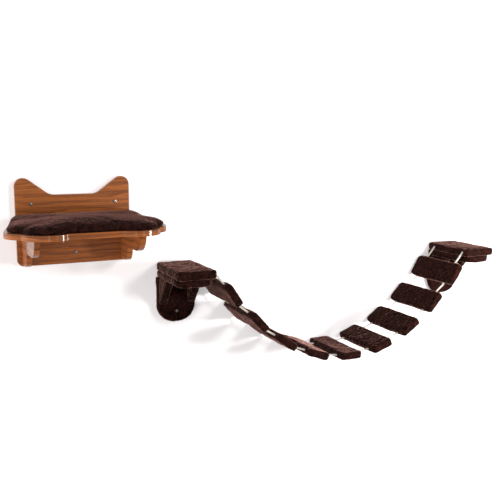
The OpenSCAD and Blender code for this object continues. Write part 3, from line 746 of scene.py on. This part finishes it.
places = vertex_places(cushion.data)
directions = np.zeros(len(cushion.data.vertices) * 3)
cushion.data.vertices.foreach_get("normal", directions)
directions = directions.reshape(-1, 3)
seam_height = cushion_low[2] + SEAM_HEIGHT
on_a_side = np.abs(directions[:, 2]) < 0.7
groove = SEAM_DEEP * np.exp(-((places[:, 2] - seam_height) / SEAM_WIDE) ** 2) * on_a_side
height = sum(high * lumps(places, wide, seed) for high, wide, seed in CUSHION_LUMPS)
places = places + directions * (height - groove)[:, None]
places[:, 2] = np.maximum(places[:, 2], cushion_low[2])
places[:, 1] = np.minimum(places[:, 1], cushion_high[1])
cushion.data.vertices.foreach_set("co", places.ravel())
cushion.data.shade_smooth()
cushion.data.materials.clear()
cushion.data.materials.append(cushion_plush)
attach(cushion, body_of_node["seat_cushion"])
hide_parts("seat_cushion")
print("cushion:", len(cushion.data.polygons), "faces")

# %% [markdown]
# A wall screw has a domed head with a cross recess, a plain shank through the board and a thread behind
# it. The head is a dome over a polar grid, pushed in where the cross is. The thread is a tube whose
# radius goes up and down with the angle and the distance, so that the crest winds round it.

# %% Wall screws
HEAD_RADIUS, HEAD_HEIGHT, SHANK_RADIUS = 6.5 * MM, 3 * MM, 2.5 * MM
CROSS_WIDTH, CROSS_REACH, CROSS_DEPTH = 0.8 * MM, 3.4 * MM, 1.9 * MM
PITCH, THREAD_DEEP, THREAD_STEP, NECK, POINT_LENGTH = 2.4 * MM, 0.55 * MM, 0.3 * MM, 0.3 * MM, 5 * MM
SCREW_SIDES = 48


def screw_skin(board, tip):
    """A screw along +Y with its head's underside at y = 0, and its faces. Rings of one angle grid run from
    the middle of the head, over the dome, down the rim, in to the shank, along the thread and to a point
    at the tip. The rim is 0.45 of the head's height, and the dome adds 0.55 (1 - (r/R)^2)^0.5 of it, less
    the cross: full depth where |x| or |z| is under the slot's width and the other is under its reach.
    The crest of the thread is at y = pitch * (angle / 360 + a whole number)."""
    angle = np.linspace(0, 2 * math.pi, SCREW_SIDES, endpoint=False)[None, :]
    dome_r = np.linspace(0, 1, 26)[1:, None] * HEAD_RADIUS
    x, z = dome_r * np.cos(angle), dome_r * np.sin(angle)
    dome = HEAD_HEIGHT * (0.45 + 0.55 * np.sqrt(np.maximum(1 - (dome_r / HEAD_RADIUS) ** 2, 0)))
    level_arm = np.maximum(np.abs(x) / CROSS_REACH, np.abs(z) / CROSS_WIDTH)
    upright_arm = np.maximum(np.abs(z) / CROSS_REACH, np.abs(x) / CROSS_WIDTH)
    dome_y = -dome + CROSS_DEPTH * faded(np.minimum(level_arm, upright_arm), 0.75, 1.15)
    plain_y = np.linspace(1 * MM, board, 6)
    thread_y = np.arange(board, tip - POINT_LENGTH, THREAD_STEP)[1:]
    shank_y = np.concatenate([[0.0, 0.01 * MM], plain_y, thread_y])[:, None]
    crest = np.abs(((shank_y / PITCH - angle / (2 * math.pi)) % 1) * 2 - 1)
    threaded = faded(-shank_y, -board - 3 * MM, -board)
    shank_r = SHANK_RADIUS - NECK + threaded * (NECK - THREAD_DEEP * (1 - crest))
    shank_r[0] = HEAD_RADIUS
    point_t = np.linspace(0, 1, 8)[1:-1, None]
    point_y = tip - POINT_LENGTH + POINT_LENGTH * point_t
    point_r = (SHANK_RADIUS - THREAD_DEEP) * np.sqrt(1 - point_t**2) + 0 * angle
    ys = np.concatenate([dome_y + 0 * angle, shank_y + 0 * angle, point_y + 0 * angle])
    rs = np.concatenate([dome_r + 0 * angle, shank_r + 0 * angle, point_r])
    body = np.stack([rs * np.cos(angle), ys, rs * np.sin(angle)], axis=2)
    rows = len(body)
    points = np.concatenate([body.reshape(-1, 3), [[0, -HEAD_HEIGHT + CROSS_DEPTH, 0], [0, tip, 0]]])
    turn = np.arange(SCREW_SIDES)
    turned = (turn + 1) % SCREW_SIDES
    first = (np.arange(rows - 1)[:, None] * SCREW_SIDES + turn).ravel()
    beside = (np.arange(rows - 1)[:, None] * SCREW_SIDES + turned).ravel()
    quads = np.stack([first, beside, beside + SCREW_SIDES, first + SCREW_SIDES], axis=1)
    cap = np.full(SCREW_SIDES, rows * SCREW_SIDES)
    last = (rows - 1) * SCREW_SIDES
    ends = [np.stack([cap, turned, turn], 1), np.stack([cap + 1, last + turn, last + turned], 1)]
    return points, [quads, *ends]


SHELF_BOARD, PLATE_BOARD, REACH = 18 * MM, 30 * MM, 38 * MM
screw_points, screw_faces, start = [], [], 0
for mount in frame["record"]["mounts"]:
    x, _, z = mount["pos_m"]
    board = SHELF_BOARD if mount["name"].startswith("shelf") else PLATE_BOARD
    spacing = mount["dims"].get("spacing_x_mm", 0) * MM
    for shift in (-spacing / 2, spacing / 2) if spacing else (0,):
        points, parts = screw_skin(board, board + REACH)
        turn = 0.6 + 1.7 * (x + shift) + 2.3 * z
        c, s = math.cos(turn), math.sin(turn)
        spun = points @ np.array([[c, 0, -s], [0, 1, 0], [s, 0, c]])
        screw_points.append(spun + (x + shift, -board, z))
        screw_faces += [face for part in parts for face in part + start]
        start += len(points)
make_piece(
    "wall_screws_zinc", np.concatenate(screw_points), screw_faces, zinc, "root",
    ["wall_screws"],
)
print("wall screws:", len(screw_points), "of", len(points), "points each")

# %% [markdown]
# The boards, cores, dowels, rope ends and hidden screws keep their CAD shape, which is right as it is. The
# shelf's boards are sanded before they are lacquered, so their edges get a small round, which catches the
# light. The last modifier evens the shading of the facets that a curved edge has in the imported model.

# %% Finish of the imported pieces
BOARD_ROUND = 1.2 * MM
for name, node in nodes.items():
    if node.hide_render:
        continue
    finish = birch_plywood
    if name.startswith("shelf_") and name != "shelf_dowels":
        finish = walnut
    elif name == "shelf_dowels":
        finish = beech
    elif name.endswith("screws"):
        finish = zinc
    elif name == "rope_anchors":
        finish = twisted_rope
    for place in node.material_slots:
        place.material = finish
    if finish is walnut:
        weld = node.modifiers.new("joined", "WELD")
        weld.merge_threshold = 0.01 * MM
        rounding = node.modifiers.new("sanded_edge", "BEVEL")
        rounding.width = BOARD_ROUND
        rounding.segments = 2
        rounding.limit_method = "ANGLE"
        rounding.angle_limit = math.radians(40)
        evened = node.modifiers.new("even_shading", "WEIGHTED_NORMAL")
        evened.mode, evened.weight = "FACE_AREA_WITH_ANGLE", 50
print("kept pieces:", sum(not node.hide_render for node in nodes.values()))

# %% [markdown]
# The picture is a product picture: a white wall with faint shadows under soft lamps. The wall and the
# floor are stage, not part of the object. They show white to the camera from the front and are clear from
# behind, and they keep the object's shadow: part of their white is their own, and part needs light.
# One large lamp stands high on the right and a small one low on the right. The room itself is brighter on
# its left, which lights the left sides softly. Two tall strip lamps light only what is glossy, so they
# show as bands in the lacquer and leave the plush alone. In a mirrored ray the room is dim, and brighter
# towards the wall.

# %% Wall, floor and lamps
WARMTH = 0.95


def stage_material(name, own, lit):
    """White that is partly its own light and partly reflected light, and clear from the back. What it
    reflects is a little warm, because its green and blue are less than its red by WARMTH."""
    material = bpy.data.materials.new(name)
    material.use_nodes = True
    tree = material.node_tree
    tree.nodes.clear()
    white = add_node(tree, "ShaderNodeEmission", {"Color": linear("#ffffff"), "Strength": own})
    matt = add_node(tree, "ShaderNodeBsdfDiffuse", {"Color": (lit, WARMTH * lit, WARMTH * lit, 1)})
    both = add_node(tree, "ShaderNodeAddShader", links={0: white.outputs[0], 1: matt.outputs[0]})
    clear = add_node(tree, "ShaderNodeBsdfTransparent")
    behind = add_node(tree, "ShaderNodeNewGeometry").outputs["Backfacing"]
    seen = add_node(tree, "ShaderNodeMixShader", links={0: behind, 1: both.outputs[0], 2: clear.outputs[0]})
    add_node(tree, "ShaderNodeOutputMaterial", links={"Surface": seen.outputs[0]})
    return material


def stage_plane(name, corners, material):
    """A flat sheet through four corners, seen by the camera alone."""
    mesh = bpy.data.meshes.new(name)
    mesh.from_pydata(corners, [], [(0, 1, 2, 3)])
    mesh.materials.append(material)
    plane = bpy.data.objects.new(name, mesh)
    bpy.context.scene.collection.objects.link(plane)
    plane.visible_shadow = plane.visible_diffuse = plane.visible_glossy = plane.visible_transmission = False
    return plane


WALL_Y, FLOOR_Z, FAR = 0.6 * MM, -1.45, 9.0
paper = stage_material("white_wall_paint", 0.2, 0.78)
stage_plane(
    "wall",
    [(-FAR, WALL_Y, FLOOR_Z), (FAR, WALL_Y, FLOOR_Z), (FAR, WALL_Y, FAR), (-FAR, WALL_Y, FAR)],
    paper,
)
stage_plane(
    "floor",
    [(-FAR, -FAR, FLOOR_Z), (FAR, -FAR, FLOOR_Z), (FAR, WALL_Y, FLOOR_Z), (-FAR, WALL_Y, FLOOR_Z)],
    paper,
)


def soft_lamp(name, place, target, wide, high, power, spread=180):
    """A rectangular lamp that looks at a target, and whose beam is narrowed to the spread in degrees."""
    data = bpy.data.lights.new(name, "AREA")
    data.spread = math.radians(spread)
    data.shape, data.size, data.size_y, data.energy = "RECTANGLE", wide, high, power
    lamp = bpy.data.objects.new(name, data)
    lamp.location = place
    aim = np.array(target) - np.array(place)
    lamp.rotation_euler = (
        math.atan2(math.hypot(aim[0], aim[1]), -aim[2]), 0, math.atan2(-aim[0], aim[1])
    )
    bpy.context.scene.collection.objects.link(lamp)
    return lamp


MIDDLE = (0.85, -0.15, -0.35)
soft_lamp("key_lamp", (2.7, -2.7, 1.2), MIDDLE, 0.6, 1.0, 70)
soft_lamp("side_lamp", (3.1, -2.2, -0.5), (1.6, -0.3, -0.4), 0.5, 0.5, 16, spread=50)
for name, across in (("left_strip_lamp", -0.35), ("right_strip_lamp", 1.3)):
    strip = soft_lamp(name, (across, -2.9, 0.1), (-0.2, -0.4, -0.05), 0.2, 2.2, 3.5)
    strip.visible_diffuse = False

world = bpy.data.worlds.new("white_room")
bpy.context.scene.world = world
world.use_nodes = True
sky = world.node_tree
sky.nodes.clear()
AMBIENT, AMBIENT_LEFT, MIRRORED, MIRRORED_WALL = 0.24, 2.6, 0.2, 0.72
ray = add_node(sky, "ShaderNodeLightPath")
seen_ray = add_node(
    sky, "ShaderNodeMath", links={0: ray.outputs["Is Camera Ray"], 1: ray.outputs["Is Transmission Ray"]},
    operation="MAXIMUM",
)
direction = add_node(sky, "ShaderNodeTexCoord").outputs["Generated"]
parts = add_node(sky, "ShaderNodeSeparateXYZ", links={0: direction}).outputs
room = add_node(
    sky, "ShaderNodeMapRange",
    {"From Min": 0.0, "From Max": 0.5, "To Min": MIRRORED, "To Max": MIRRORED_WALL},
    {"Value": parts["Y"]}, interpolation_type="SMOOTHSTEP",
)
around = add_node(
    sky, "ShaderNodeMapRange",
    {"From Min": -0.95, "From Max": 0.2, "To Min": AMBIENT_LEFT, "To Max": AMBIENT},
    {"Value": parts["X"]}, interpolation_type="SMOOTHSTEP",
)
glossy = add_node(
    sky, "ShaderNodeMix", (), {0: ray.outputs["Is Glossy Ray"], 2: around.outputs[0], 3: room.outputs[0]},
    data_type="FLOAT",
)
strength = add_node(
    sky, "ShaderNodeMath", links={0: seen_ray.outputs[0], 1: glossy.outputs[0]}, operation="MAXIMUM"
)
light = add_node(
    sky, "ShaderNodeBackground", {"Color": linear("#ffffff")}, {"Strength": strength.outputs[0]}
)
add_node(sky, "ShaderNodeOutputWorld", links={"Surface": light.outputs[0]})
bpy.context.scene.view_settings.view_transform = "Standard"
print("lamps and stage are up")
